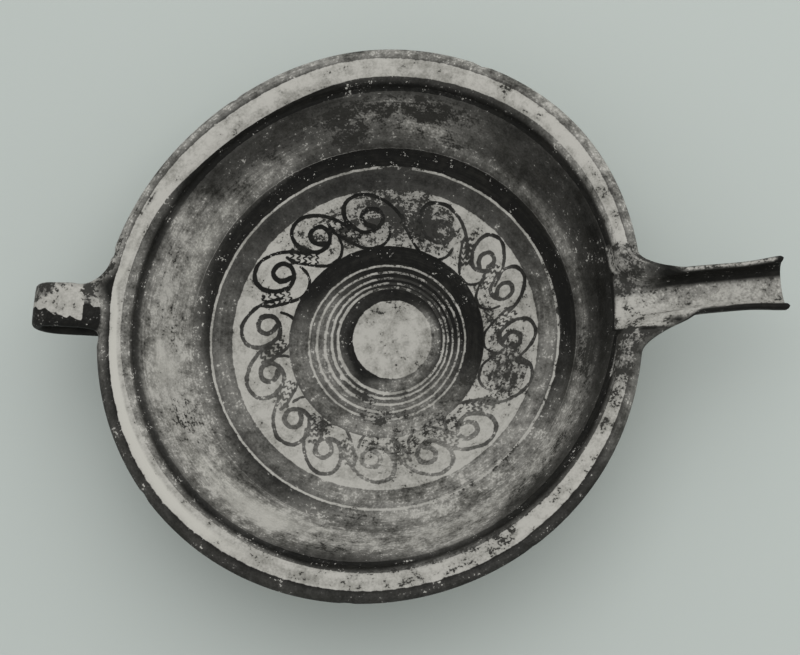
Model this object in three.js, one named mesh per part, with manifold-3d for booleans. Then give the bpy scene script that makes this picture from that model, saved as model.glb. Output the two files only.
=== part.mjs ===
// A wheel-thrown, painted clay basin: a wide shallow bowl with a broad flat rim, one strap
// handle in a loop on one side and one long open trough spout on the other.
// It is a single piece of fired clay, so it is a single closed solid.
// Millimetres, +Z up. The origin is the centre of the flat underside, and +X runs along the spout.

import * as THREE from "three";
import { mergeVertices } from "three/addons/utils/BufferGeometryUtils.js";
import Module from "manifold-3d";

const wasm = await Module();
wasm.setup();

// The thrown bowl.
const RIM_RADIUS = 141;
const RIM_HEIGHT = 66;
const FOOT_RADIUS = 50;
const FLOOR_HEIGHT = 11;
const WALL = 6.2;
const BOWL_SIDES = 84;

// The finished rim isn't quite round: the leather-hard clay was pulled a little to an oval.
const OVAL_SHARE = 0.0155;
const OVAL_ANGLE = THREE.MathUtils.degToRad(40.3);
const OVAL_STARTS = 95;
const OVAL_FULL = 121;

// The lip alone was pressed in where the spout was joined on, and pulled out a little behind it.
const LIP_STARTS = 119;
const LIP_WIDER = 0.9;
const LIP_PRESS = 7.2;
const LIP_PRESS_WIDTH = THREE.MathUtils.degToRad(33);
const LIP_BACK = 1.7;
const LIP_BACK_ANGLE = THREE.MathUtils.degToRad(92);
const LIP_BACK_WIDTH = THREE.MathUtils.degToRad(22);

// The spout, an open trough drawn out of the rim along +X.
const SPOUT_START = 112;
const SPOUT_TIP = 205;
const SPOUT_HALF = 11.6;
const SPOUT_FLARE_FAR = 12;
const SPOUT_FLARE_NEAR = 16.5;
const SPOUT_FLARE_START = 134;
const SPOUT_FLARE_LENGTH = 10;
const SPOUT_LIP_FLARE = 1.8;
const LIP_FLARE_LENGTH = 30;
const SPOUT_DEPTH = 12.2;
const SPOUT_ROOT = 118;
const SPOUT_ROOT_DEPTH = 24;
const SPOUT_ROOT_LENGTH = 17;
const SPOUT_LEAN = 1.5;
const SPOUT_LEAN_FROM = 128;
const SPOUT_LEAN_TO = 168;
const TIP_HOLLOW = 2.6;
const TIP_HOLLOW_LENGTH = 16;
const TIP_SLANT = 0.9;
const SPOUT_SIDES = 20;
const SPOUT_SQUARENESS = 2.4;

// The channel inside the spout.
const TROUGH_HALF = 9.1;
const TROUGH_DEPTH = 8.6;
const TROUGH_DEEPER = 1.6;
const TROUGH_DEEPEST_AT = 165;
const TROUGH_SHALLOWER = 0.8;
const TROUGH_MOUTH_FLARE = 6;
const TROUGH_MOUTH = 121;
const TROUGH_MOUTH_LENGTH = 16;
const TROUGH_ABOVE = 3;
const TROUGH_PAST_TIP = 8;
const TROUGH_SIDES = 16;
const TROUGH_SQUARENESS = 2.5;

// The handle, a flat strap that leaves the rim level, bends down and comes back to the wall.
const HANDLE_ANGLE = THREE.MathUtils.degToRad(172.5);
const STRAP_WIDTH = 23;
const STRAP_THICK = 5.4;
const STRAP_REACH = 180;
const STRAP_BEND = 9.2;
const STRAP_LOW_END = 117;
const STRAP_SIDES = 16;
const STRAP_BEND_STEPS = 9;
const STRAP_SPREAD = 9.5;
const STRAP_SPREAD_LENGTH = 5.5;
const STRAP_LOW_SPREAD = 4;
const STRAP_LOW_SPREAD_FROM = 122;
const STRAP_NEAR_SHARE = 0.2;

// A smooth step from 0 to 1 between two values.
const smooth = (value, from, to) => THREE.MathUtils.smoothstep(value, from, to);

// The inside of the bowl, from the axis out to the edge of the rim: [radius, height].
const insideProfile = () => {
  const top = RIM_HEIGHT;
  return [
    [0, FLOOR_HEIGHT],
    [21, FLOOR_HEIGHT],
    [41.5, FLOOR_HEIGHT + 1.5],
    [61, FLOOR_HEIGHT + 6.8],
    [80, FLOOR_HEIGHT + 13],
    [91, top - 38],
    [98, top - 35.2],
    [103.5, top - 30.5],
    [109, top - 23.5],
    [115.6, top - 14.2],
    [120.6, top - 7],
    // A thin groove marks the inner shoulder of the rim.
    [121.9, top - 5.9],
    [122.7, top - 5.3],
    [124.2, top - 2.5],
    [127.3, top - 0.2],
    [131.5, top + 0.6],
    [135.5, top + 0.8],
    [139.3, top + 0.4],
    [RIM_RADIUS, top - 1.3],
  ];
};

// The outside of the bowl, from the edge of the rim down to the underside.
const outsideProfile = () => {
  const top = RIM_HEIGHT;
  return [
    [RIM_RADIUS, top - 4],
    [139.2, top - 5.7],
    [131.5, top - 7.4],
    [126.6, top - 10.2],
    [122.6, top - 15.5],
    [116, top - 25],
    [110, top - 33],
    [103.5, top - 39.6],
    [95, top - 43.8],
    [80, FLOOR_HEIGHT + 13 - WALL - 0.4],
    [62, 10.4],
    [54, 8],
    [FOOT_RADIUS + 0.6, 5.6],
    [FOOT_RADIUS + 1.4, 2.6],
    [FOOT_RADIUS, 0],
    [0, 0],
  ];
};

// Turns a closed indexed geometry into a solid that can be joined and cut.
const toSolid = (geometry) => {
  const bare = geometry.clone();
  bare.deleteAttribute("normal");
  bare.deleteAttribute("uv");
  const merged = mergeVertices(bare, 1e-3);
  return new wasm.Manifold(
    new wasm.Mesh({
      numProp: 3,
      vertProperties: merged.attributes.position.array,
      triVerts: new Uint32Array(merged.index.array),
    }),
  );
};

// Turns a solid back into a geometry for a mesh.
const toGeometry = (solid) => {
  const mesh = solid.getMesh();
  const geometry = new THREE.BufferGeometry();
  geometry.setAttribute("position", new THREE.BufferAttribute(mesh.vertProperties, 3));
  geometry.setIndex(new THREE.BufferAttribute(mesh.triVerts, 1));
  geometry.computeVertexNormals();
  return geometry;
};

// Spins a profile of [radius, height] about the vertical axis.
const spin = (profile) => {
  const points = profile.map(([radius, height]) => new THREE.Vector2(radius, height));
  return new THREE.LatheGeometry(points, BOWL_SIDES).rotateX(Math.PI / 2);
};

// A soft bump of height 1 about an angle, narrower or wider as its width says.
const bump = (angle, middle, width) => {
  const away = Math.atan2(Math.sin(angle - middle), Math.cos(angle - middle));
  return Math.exp(-((away / width) ** 2));
};

// Draws the rim out to its slight oval, moves the lip in and out, and leaves the floor round.
const pullRim = (geometry) => {
  const position = geometry.getAttribute("position");
  for (let i = 0; i < position.count; i += 1) {
    const x = position.getX(i);
    const y = position.getY(i);
    const radius = Math.hypot(x, y);
    const angle = Math.atan2(y, x);
    const share = OVAL_SHARE * smooth(radius, OVAL_STARTS, OVAL_FULL);
    const oval = radius * (1 + share * Math.cos(2 * (angle - OVAL_ANGLE)));
    const press = LIP_PRESS * bump(angle, 0, LIP_PRESS_WIDTH);
    const back = LIP_BACK * bump(angle, LIP_BACK_ANGLE, LIP_BACK_WIDTH);
    const moved = oval + smooth(radius, LIP_STARTS, RIM_RADIUS) * (LIP_WIDER - press + back);
    position.setXY(i, moved * Math.cos(angle), moved * Math.sin(angle));
  }
  return geometry;
};

// Skins a list of rings, each an equal list of points, and closes both ends.
const loft = (rings) => {
  const sides = rings[0].length;
  const corners = rings.flat().flatMap((point) => [point.x, point.y, point.z]);
  const faces = [];
  for (let ring = 0; ring < rings.length - 1; ring += 1) {
    for (let side = 0; side < sides; side += 1) {
      const here = ring * sides + side;
      const beside = ring * sides + ((side + 1) % sides);
      faces.push(here, beside, here + sides);
      faces.push(beside, beside + sides, here + sides);
    }
  }
  const last = (rings.length - 1) * sides;
  for (let side = 1; side < sides - 1; side += 1) {
    faces.push(0, side + 1, side);
    faces.push(last, last + side, last + side + 1);
  }
  const geometry = new THREE.BufferGeometry();
  geometry.setAttribute("position", new THREE.Float32BufferAttribute(corners, 3));
  geometry.setIndex(faces);
  return geometry;
};

// A rounded coordinate: the sine or cosine of an angle, squared off by the exponent.
const rounded = (value, exponent) => Math.sign(value) * Math.abs(value) ** (2 / exponent);

// How far one side of the spout curves out into the rim at its root.
const spoutFlare = (x, flare) => {
  const along = Math.max(x - SPOUT_FLARE_START, 0);
  return flare * Math.exp(-along / SPOUT_FLARE_LENGTH);
};

// How far the lips turn out towards the tip.
const lipFlare = (x) => SPOUT_LIP_FLARE * smooth(x, SPOUT_TIP - LIP_FLARE_LENGTH, SPOUT_TIP) ** 2;

// The spout heads a little to the far side.
const spoutLean = (x) => SPOUT_LEAN * smooth(x, SPOUT_LEAN_FROM, SPOUT_LEAN_TO);

// How deep the spout's underside hangs below the rim, deepest where it meets the wall.
const spoutDepth = (x) => {
  const along = Math.max(x - SPOUT_ROOT, 0);
  return SPOUT_DEPTH + (SPOUT_ROOT_DEPTH - SPOUT_DEPTH) * Math.exp(-along / SPOUT_ROOT_LENGTH);
};

// The stations along the spout, closest where its sides curve out into the rim.
const spoutStations = [
  SPOUT_START, SPOUT_ROOT, 123, 128, 131, 134, 137, 141, 146, 152, 160, 170, 182, 194, SPOUT_TIP,
];

// One U-shaped section across the spout, flat on top. The flare widens it at the top alone.
const troughRing = ({ x, half, near, far, depth, top, sides, squareness }) => {
  const ring = [];
  for (let i = 0; i <= sides; i += 1) {
    const angle = Math.PI + (Math.PI * i) / sides;
    const sunk = rounded(Math.sin(angle), squareness);
    const across = rounded(Math.cos(angle), squareness);
    const flare = across > 0 ? far : near;
    const width = half + flare * (1 + sunk) ** 1.5;
    ring.push(new THREE.Vector3(x, spoutLean(x) + width * across, top + depth * sunk));
  }
  return ring;
};

// The tip is cut a little aslant, and its lips run on past its hollowed floor.
const hollowTip = (ring, x) => {
  const share = smooth(x, SPOUT_TIP - TIP_HOLLOW_LENGTH, SPOUT_TIP);
  const far = ring.at(-1).y;
  const near = ring[0].y;
  ring.forEach((point) => {
    const slant = (TIP_SLANT * (point.y - near)) / (far - near);
    const sunk = (RIM_HEIGHT - point.z) / SPOUT_DEPTH;
    point.x -= share * (slant + TIP_HOLLOW * sunk);
  });
  return ring;
};

const makeSpout = () => {
  const rings = spoutStations.map((x) => {
    const ring = troughRing({
      x,
      half: SPOUT_HALF + lipFlare(x),
      near: spoutFlare(x, SPOUT_FLARE_NEAR),
      far: spoutFlare(x, SPOUT_FLARE_FAR),
      depth: spoutDepth(x),
      top: RIM_HEIGHT,
      sides: SPOUT_SIDES,
      squareness: SPOUT_SQUARENESS,
    });
    return hollowTip(ring, x);
  });
  return toSolid(loft(rings));
};

// The channel that is pressed into the spout and through the rim. It stops above the lips,
// runs out past the tip, and its edges open softly where it leaves the bowl.
const makeTrough = () => {
  const rings = [...spoutStations, SPOUT_TIP + TROUGH_PAST_TIP].map((x) => {
    const flare = TROUGH_MOUTH_FLARE * Math.exp(-Math.max(x - TROUGH_MOUTH, 0) / TROUGH_MOUTH_LENGTH);
    const deeper = TROUGH_DEEPER * smooth(x, TROUGH_MOUTH, TROUGH_DEEPEST_AT);
    const shallower = TROUGH_SHALLOWER * smooth(x, TROUGH_DEEPEST_AT, SPOUT_TIP);
    return troughRing({
      x,
      half: TROUGH_HALF + 0.8 * lipFlare(x),
      near: flare,
      far: flare,
      depth: TROUGH_DEPTH + TROUGH_ABOVE + deeper - shallower,
      top: RIM_HEIGHT + TROUGH_ABOVE,
      sides: TROUGH_SIDES,
      squareness: TROUGH_SQUARENESS,
    });
  });
  return toSolid(loft(rings));
};

// The handle's middle line as [distance from the axis, height], with its direction of travel.
const strapLine = () => {
  const high = RIM_HEIGHT - 0.2 - STRAP_THICK / 2;
  const bendAt = STRAP_REACH - STRAP_THICK / 2 - STRAP_BEND;
  const line = [133, 138, 141, 143.5, 147, 152, 159].map((distance) => [distance, high, 0]);
  for (let i = 0; i <= STRAP_BEND_STEPS; i += 1) {
    const turn = (Math.PI * i) / STRAP_BEND_STEPS;
    const distance = bendAt + STRAP_BEND * Math.sin(turn);
    line.push([distance, high - STRAP_BEND * (1 - Math.cos(turn)), turn]);
  }
  const low = high - 2 * STRAP_BEND;
  line.push([148, low - 0.6, Math.PI]);
  line.push([134, low - 1.6, Math.PI]);
  line.push([127, low - 2.4, Math.PI]);
  line.push([STRAP_LOW_END, low - 4, Math.PI]);
  return line;
};

// A soft fillet spreads the strap where it grows out of the rim and where it meets the wall.
const strapSpread = (distance, turn) => {
  const fromRim = Math.max(distance - RIM_RADIUS, 0);
  const fromWall = Math.max(distance - STRAP_LOW_SPREAD_FROM, 0);
  const upper = STRAP_SPREAD * Math.exp(-fromRim / STRAP_SPREAD_LENGTH);
  const lower = STRAP_LOW_SPREAD * Math.exp(-fromWall / STRAP_LOW_SPREAD);
  return turn < Math.PI / 2 ? upper : lower;
};

const makeHandle = () => {
  const along = new THREE.Vector3(Math.cos(HANDLE_ANGLE), Math.sin(HANDLE_ANGLE), 0);
  const across = new THREE.Vector3(Math.sin(HANDLE_ANGLE), -Math.cos(HANDLE_ANGLE), 0);
  const rings = strapLine().map(([distance, height, turn]) => {
    const spread = strapSpread(distance, turn);
    const ring = [];
    for (let i = 0; i < STRAP_SIDES; i += 1) {
      const angle = (-2 * Math.PI * i) / STRAP_SIDES;
      const side = Math.cos(angle);
      const reach = STRAP_WIDTH / 2 + (side > 0 ? spread : STRAP_NEAR_SHARE * spread);
      const offset = (STRAP_THICK / 2) * rounded(Math.sin(angle), 4);
      const place = new THREE.Vector3()
        .addScaledVector(along, distance + offset * Math.sin(turn))
        .addScaledVector(across, reach * rounded(side, 5));
      place.z = height + offset * Math.cos(turn);
      ring.push(place);
    }
    return ring;
  });
  return toSolid(loft(rings));
};

// The air inside the bowl, grown a little into the wall, trims what is joined on from outside.
const makeTrimmer = () => {
  const into = 2;
  const inner = insideProfile().slice(0, 15);
  const grown = inner.map(([radius, height]) => [radius > 0 ? radius + into : 0, height - into]);
  grown.push([128.6, RIM_HEIGHT + 20]);
  grown.push([0, RIM_HEIGHT + 20]);
  return toSolid(pullRim(spin(grown)));
};

const makeBowlJar = () => {
  const bowl = toSolid(pullRim(spin([...outsideProfile().reverse(), ...insideProfile().reverse()])));
  const joined = makeSpout().add(makeHandle()).subtract(makeTrimmer());
  return bowl.add(joined).subtract(makeTrough());
};

const paintedClay = new THREE.MeshStandardMaterial({
  name: "painted_clay",
  color: 0xa9a69b,
  roughness: 0.82,
  metalness: 0,
});

const bowlJar = new THREE.Mesh(toGeometry(makeBowlJar()), paintedClay);
bowlJar.name = "bowl_jar";

const vessel = new THREE.Group();
vessel.add(bowlJar);

export default vessel;
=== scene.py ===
# %% [markdown]
# # A painted clay basin with a spout
# This lesson dresses a wheel-thrown basin: a wide shallow bowl with a broad flat rim, a strap
# handle and a long open spout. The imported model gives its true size. The lesson builds a finer
# skin over it, paints it with worn bands and running spirals, and lights it softly.

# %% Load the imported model
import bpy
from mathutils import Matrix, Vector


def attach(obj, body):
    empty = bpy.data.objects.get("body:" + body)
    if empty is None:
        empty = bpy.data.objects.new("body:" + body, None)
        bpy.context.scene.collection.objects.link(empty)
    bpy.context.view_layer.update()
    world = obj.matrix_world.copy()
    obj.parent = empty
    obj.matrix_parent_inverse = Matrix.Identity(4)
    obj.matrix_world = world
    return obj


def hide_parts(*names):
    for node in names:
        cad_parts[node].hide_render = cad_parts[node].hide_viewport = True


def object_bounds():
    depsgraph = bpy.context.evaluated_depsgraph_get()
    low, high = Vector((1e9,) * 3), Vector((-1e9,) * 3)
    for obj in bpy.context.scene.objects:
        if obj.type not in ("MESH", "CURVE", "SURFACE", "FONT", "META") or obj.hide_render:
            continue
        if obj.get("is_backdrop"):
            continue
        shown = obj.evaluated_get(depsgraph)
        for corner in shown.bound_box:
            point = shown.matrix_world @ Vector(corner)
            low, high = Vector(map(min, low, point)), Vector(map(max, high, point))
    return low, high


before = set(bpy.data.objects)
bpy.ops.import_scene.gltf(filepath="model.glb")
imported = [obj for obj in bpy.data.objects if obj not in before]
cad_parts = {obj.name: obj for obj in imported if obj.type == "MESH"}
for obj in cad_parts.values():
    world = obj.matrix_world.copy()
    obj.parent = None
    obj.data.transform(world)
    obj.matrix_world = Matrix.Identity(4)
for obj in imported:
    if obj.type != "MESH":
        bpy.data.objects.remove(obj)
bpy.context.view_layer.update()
print("packed nodes:", sorted(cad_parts))

# %% Bring in what the lesson needs
import math

import bmesh
import bpy
import numpy as np
from mathutils import Matrix, Vector

MM = 0.001


def ease(value, start, end):
    """Goes smoothly from 0 at start to 1 at end."""
    share = np.clip((value - start) / (end - start), 0, 1)
    return share * share * (3 - 2 * share)


# %% [markdown]
# ## The outline that the potter threw
# On the wheel every height of the pot is a circle, so one outline from the middle of the floor
# up over the rim and down to the foot describes the whole bowl. A polygon of hard corners would
# look turned from metal. A smooth curve through a few placed points keeps the soft clay look.

# %% Place the outline's points, as radius and height in millimetres
RIM_HEIGHT = 66.0
LIP_RADIUS = 141.0
INSIDE = [
    (0, 11), (21, 11), (41.5, 12.5), (61, 17.8), (80, 24), (91, 28), (98, 30.8),
    (103.5, 35.5), (109, 42.5), (115.6, 51.8), (119.8, 57.8), (121.6, 60.1),
    (123.1, 60.7), (124.2, 62.7), (127.3, 65.7), (131.5, 66.6), (135.5, 66.7),
    (139, 66.1), (LIP_RADIUS, 64),
]
OUTSIDE = [
    (140.8, 62.2), (139, 60.4), (131.5, 58.6), (126.6, 55.8), (122.6, 50.5), (116, 41),
    (110, 33), (103.5, 26.4), (95, 22.2), (80, 17.4), (62, 10.4), (54, 8), (50.8, 5.6),
    (51.4, 2.6), (50, 0.5), (48.4, 0), (45.5, 0), (43, 0.6), (0, 0.8),
]
print(len(INSIDE), "points inside and", len(OUTSIDE), "outside")


# %% Run a smooth curve through placed points
def smooth_line(points, step=0.2):
    """Runs a smooth curve through the points. Also gives each point's distance along it."""
    points = np.array(points, float)
    gaps = np.linalg.norm(np.diff(points, axis=0), axis=1)
    slopes = np.diff(points, axis=0) / gaps[:, None]
    before, after = gaps[:-1, None], gaps[1:, None]
    middle = (slopes[:-1] * after + slopes[1:] * before) / (before + after)
    tangents = np.vstack([slopes[:1], middle, slopes[-1:]])
    pieces = []
    for i, gap in enumerate(gaps):
        t = np.arange(0, 1, step / gap)[:, None]
        start = (2 * t**3 - 3 * t**2 + 1) * points[i] + (t**3 - 2 * t**2 + t) * gap * tangents[i]
        end = (3 * t**2 - 2 * t**3) * points[i + 1] + (t**3 - t**2) * gap * tangents[i + 1]
        pieces.append(start + end)
    line = np.vstack([*pieces, points[-1:]])
    along = np.concatenate([[0], np.cumsum(np.linalg.norm(np.diff(line, axis=0), axis=1))])
    places = np.concatenate([[0], np.cumsum([len(piece) for piece in pieces])])
    return line, along, along[places]


outline, outline_along, outline_marks = smooth_line(INSIDE + OUTSIDE)
LIP_ALONG = outline_marks[len(INSIDE) - 1]
print("the outline is", round(outline_along[-1]), "mm long")


# %% [markdown]
# ## Rings round the wheel
# The skin is a stack of rings, each a circle of points. The painted spirals need points about
# half a millimetre apart, and the hidden underside does not. So each stretch of the outline has
# its own number of rings and of steps round, and the counts only ever double or halve.

# %% Plan the rings, from the middle of the floor out, over the lip and back under
AROUND = 400
HANDLE_ANGLE = math.radians(172.5)
CLOSER_WIDTH = math.radians(18)
CLOSER_SHARE = 0.9
inner_part = outline_along <= LIP_ALONG
rings = {"along": [], "steps": []}


def throw(start, end, count, steps):
    """Adds rings from one distance along the outline up to, but not at, the next."""
    rings["along"].extend(np.linspace(start, end, count, endpoint=False))
    rings["steps"].extend([steps] * count)
    return len(rings["along"])


def along_at(radius):
    """The distance along the inside of the outline where it has this radius."""
    return float(np.interp(radius, outline[inner_part, 0], outline_along[inner_part]))


def mark(point):
    """The distance along the outline of one of the outside's placed points."""
    return outline_marks[len(INSIDE) + OUTSIDE.index(point)]


SPOUT_RINGS = 24
throw(along_at(1.6), along_at(8), 3, AROUND // 8)
throw(along_at(8), along_at(21), 6, AROUND // 4)
throw(along_at(21), along_at(47), 13, AROUND // 2)
throw(along_at(47), along_at(50.6), 3, AROUND)
throw(along_at(50.6), along_at(81.2), 51, AROUND * 2)
throw(along_at(81.2), along_at(101), 12, AROUND)
spout_inside_ring = throw(along_at(101), along_at(119.4), 16, AROUND)
lip_ring = throw(along_at(119.4), LIP_ALONG, SPOUT_RINGS, AROUND)
spout_outside_ring = throw(LIP_ALONG, LIP_ALONG + 30, SPOUT_RINGS, AROUND)
throw(LIP_ALONG + 30, LIP_ALONG + 37.5, 6, AROUND)
throw(LIP_ALONG + 37.5, mark((54, 8)), 24, AROUND // 2)
throw(mark((54, 8)), mark((45.5, 0)), 11, AROUND // 2)
throw(mark((45.5, 0)), mark((43, 0.6)), 3, AROUND // 2)
throw(mark((43, 0.6)), outline_along[-1] - 2, 12, AROUND // 4)
print(len(rings["along"]), "rings")


# %% Crowd the steps near the spout and the handle, where the clay curves most
def turn_from(angle, middle):
    """The signed angle from the middle, never more than half a turn."""
    return (angle - middle + np.pi) % (2 * np.pi) - np.pi


even = np.linspace(0, 2 * np.pi, 20001)
crowd = sum(np.exp(-((turn_from(even, m) / CLOSER_WIDTH) ** 2)) for m in (0, HANDLE_ANGLE))
reached = np.cumsum(1 + CLOSER_SHARE * crowd)
reached = (reached - reached[0]) / (reached[-1] - reached[0]) * 2 * np.pi


def crowded(turn):
    """Moves evenly spaced angles closer together near the spout and the handle."""
    return np.interp(turn, reached, even)


# %% Turn the rings into points
ring_along = np.array(rings["along"])
ring_steps = np.array(rings["steps"])
ring_first = np.concatenate([[0], np.cumsum(ring_steps)])
bowl_count = ring_first[-1]
bowl_along = np.repeat(ring_along, ring_steps)
bowl_angle = np.concatenate([crowded(np.arange(n) * 2 * np.pi / n) for n in ring_steps])
bowl_radius = np.interp(bowl_along, outline_along, outline[:, 0])
bowl_height = np.interp(bowl_along, outline_along, outline[:, 1])
print("points in the rings:", int(bowl_count))


def point_at(ring, step):
    """The number of the point a few steps round one ring."""
    steps = ring_steps[ring]
    return int(ring_first[ring] + step % steps)


# %% [markdown]
# ## Where the clay was pulled out of round
# Leather-hard clay gives a little. The rim is about two millimetres wider one way than the
# other, it was pressed in where the spout was luted on, and it is drawn out in a soft curve to
# meet the spout's sides. These are moves of the points, applied after the rings are laid out.

# %% Say how far the rim gives, and where
OVAL_SHARE = 0.0155
OVAL_ANGLE = math.radians(40.3)
EDGE_BASE = 0.9
PRESS_DEPTH = 7.2
PRESS_WIDTH = math.radians(33)
BACK_PULL = 1.7
BACK_ANGLE = math.radians(92)
BACK_WIDTH = math.radians(22)
FILLET_FROM = 15.0
FAR_FILLET = (23.0, 13.0)
NEAR_FILLET = (28.0, 17.5)
STRAP_FILLET_FROM = 12.2
STRAP_FILLET_TO = 23.0
STRAP_FILLET_REACH = 8.0
outward = np.array([math.cos(HANDLE_ANGLE), math.sin(HANDLE_ANGLE), 0])
sideways = np.array([-math.sin(HANDLE_ANGLE), math.cos(HANDLE_ANGLE), 0])
upward = np.array([0, 0, 1.0])
TWO_WAY_SAG = 0.35
THREE_WAY_SAG = 0.2
print("the rim gives up to", PRESS_DEPTH, "mm at the spout")


# %% Pull the rim out of round
def edge_pull(angle):
    """How far the lip is moved outwards at an angle."""
    press = PRESS_DEPTH * np.exp(-((turn_from(angle, 0) / PRESS_WIDTH) ** 2))
    back = BACK_PULL * np.exp(-((turn_from(angle, BACK_ANGLE) / BACK_WIDTH) ** 2))
    return EDGE_BASE - press + back


def spout_fillet(x, y):
    """How far the lip is drawn along the spout beside its root."""
    far = ease(y, -FILLET_FROM, FILLET_FROM)
    width = NEAR_FILLET[0] + (FAR_FILLET[0] - NEAR_FILLET[0]) * far
    reach = NEAR_FILLET[1] + (FAR_FILLET[1] - NEAR_FILLET[1]) * far
    near = np.clip((width - np.abs(y)) / (width - FILLET_FROM), 0, 1.1)
    return np.where(x > 0, reach * near**2, 0)


def strap_fillet(x, y):
    """How far the lip is drawn along the strap, on the strap's far side only."""
    across = -(x * sideways[0] + y * sideways[1])
    near = np.clip((STRAP_FILLET_TO - across) / (STRAP_FILLET_TO - STRAP_FILLET_FROM), 0, 1.1)
    far = ease(across, -4, STRAP_FILLET_FROM)
    return np.where(x < 0, STRAP_FILLET_REACH * near**2 * far, 0)


def shape_bowl(radius, angle, height):
    """Gives the real place of a thrown point, in millimetres."""
    share = OVAL_SHARE * ease(radius, 95, 121)
    edge = ease(radius, 119, LIP_RADIUS)
    pulled = radius * (1 + share * np.cos(2 * (angle - OVAL_ANGLE))) + edge * edge_pull(angle)
    x = pulled * np.cos(angle)
    y = pulled * np.sin(angle)
    outer = ease(radius, 124, LIP_RADIUS)
    along_strap = strap_fillet(x, y) * outer
    along_spout = spout_fillet(x, y) * outer
    x = x + along_spout + along_strap * outward[0]
    y = y + along_strap * outward[1]
    sag = TWO_WAY_SAG * np.sin(2 * angle + 0.6) + THREE_WAY_SAG * np.sin(3 * angle + 2.1)
    z = height + sag * ease(radius, 60, 135)
    return np.column_stack([x, y, z]), along_strap + along_spout


points, drawn_out = shape_bowl(bowl_radius, bowl_angle, bowl_height)
print("rim, pulled out of round:", np.ptp(points[:, :2], axis=0).round(1), "mm")

# %% [markdown]
# ## Finger ridges and knocks
# Wet fingers leave shallow ridges as the pot turns, and an old lip has lost a few flakes. None
# is deeper than a millimetre, yet the soft light finds them. They could be a bump in the finish,
# but real moves of the points also show along the edge of the shape.

# %% Leave the marks of the potter's fingers and a few knocks
THROW_PITCH = 7.5
THROW_DEPTH = 0.13
CHIPS_ON_LIP = [
    (64, 2.6, 0.9), (118, 1.6, 0.7), (161, 2.2, 1.0), (214, 1.8, 0.8), (262, 2.8, 0.9),
    (301, 1.7, 0.7),
]


def throwing_rings(along, angle):
    """The height of the shallow ridges that fingers leave as the wheel turns."""
    turns = 2 * np.pi * along / THROW_PITCH
    drift = 0.9 * np.sin(angle + 0.4) + 0.5 * np.sin(2 * angle + 1.9)
    uneven_depth = 0.65 + 0.35 * np.sin(along * 0.11 + 2 * angle)
    return THROW_DEPTH * uneven_depth * np.sin(turns + drift)


def lip_chips(along, angle):
    """How deep the lip is knocked away, in millimetres."""
    depth = np.zeros(len(along))
    for chip_angle, half_width, chip_depth in CHIPS_ON_LIP:
        round_way = turn_from(angle, math.radians(chip_angle)) * LIP_RADIUS / half_width
        over_way = (along - LIP_ALONG + 1.0) / 2.4
        depth += chip_depth * np.exp(-(round_way**4) - over_way**2)
    return depth


away_from_lip = ease(np.abs(bowl_along - LIP_ALONG), 6, 18)
ridge = throwing_rings(bowl_along, bowl_angle) * away_from_lip * ease(bowl_radius, 4, 15)
ridge *= 1 - ease(bowl_along, mark((62, 10.4)), mark((51.4, 2.6)))
facing = np.gradient(outline, axis=0)
facing /= np.linalg.norm(facing, axis=1)[:, None]
facing_out = -np.interp(bowl_along, outline_along, facing[:, 1]) * ridge
facing_up = np.interp(bowl_along, outline_along, facing[:, 0]) * ridge
chipped = lip_chips(bowl_along, bowl_angle)
points[:, 0] += (facing_out - chipped) * np.cos(bowl_angle)
points[:, 1] += (facing_out - chipped) * np.sin(bowl_angle)
points[:, 2] += facing_up - 0.4 * chipped
points[:, 2] = np.maximum(points[:, 2], 0)
point_along = bowl_along
point_angle = bowl_angle
print("bowl points:", len(points), "deepest chip:", round(float(chipped.max()), 2), "mm")

# %% [markdown]
# ## Leaving room for the spout and the handle
# The potter cut nothing here, but a skin needs an opening wherever another part grows out of
# it. A rectangle of faces is left out on the rim for each, and one more on the wall for the
# handle's lower end. Their edges become the first rings of the spout and of the handle.

# %% Say which faces are left out
SPOUT_HALF_STEPS = 12
HANDLE_STEP = round(float(np.interp(HANDLE_ANGLE, even, reached)) / (2 * math.pi) * AROUND)
HANDLE_HALF_STEPS = 9
HANDLE_RINGS = 8
handle_top_ring = lip_ring - HANDLE_RINGS // 2
handle_low_ring = int(np.searchsorted(ring_along, LIP_ALONG + 25.5))
openings = [
    (spout_inside_ring, spout_outside_ring, 0, SPOUT_HALF_STEPS),
    (handle_top_ring, handle_top_ring + HANDLE_RINGS, HANDLE_STEP, HANDLE_HALF_STEPS),
    (handle_low_ring, handle_low_ring + HANDLE_RINGS, HANDLE_STEP, HANDLE_HALF_STEPS),
]


def is_open(ring, step):
    """True where a face is left out for the spout or the handle."""
    for first, last, middle, half in openings:
        beside = (step - middle + half) % AROUND
        if first <= ring < last and beside < 2 * half:
            return True
    return False


print("openings, as first ring, last ring, middle step and half width:", openings)


# %% Skin the rings with faces
faces = []
for ring in range(len(ring_steps) - 1):
    here, there = int(ring_steps[ring]), int(ring_steps[ring + 1])
    for step in range(min(here, there)):
        if here == there:
            if not is_open(ring, step):
                faces.append((
                    point_at(ring, step), point_at(ring + 1, step),
                    point_at(ring + 1, step + 1), point_at(ring, step + 1),
                ))
        elif here < there:
            a, b = point_at(ring, step), point_at(ring, step + 1)
            c, d, e = (point_at(ring + 1, 2 * step + k) for k in range(3))
            faces += [(a, c, d), (a, d, b), (b, d, e)]
        else:
            a, b = point_at(ring + 1, step), point_at(ring + 1, step + 1)
            c, d, e = (point_at(ring, 2 * step + k) for k in range(3))
            faces += [(a, d, c), (a, b, d), (b, e, d)]
middle_points = np.array([[0, 0, INSIDE[0][1]], [0, 0, OUTSIDE[-1][1]]], float)
points = np.vstack([points, middle_points])
point_along = np.concatenate([point_along, [0, outline_along[-1]]])
point_angle = np.concatenate([point_angle, [0, 0]])
last_ring = len(ring_steps) - 1
for step in range(int(ring_steps[0])):
    faces.append((bowl_count, point_at(0, step), point_at(0, step + 1)))
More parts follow.
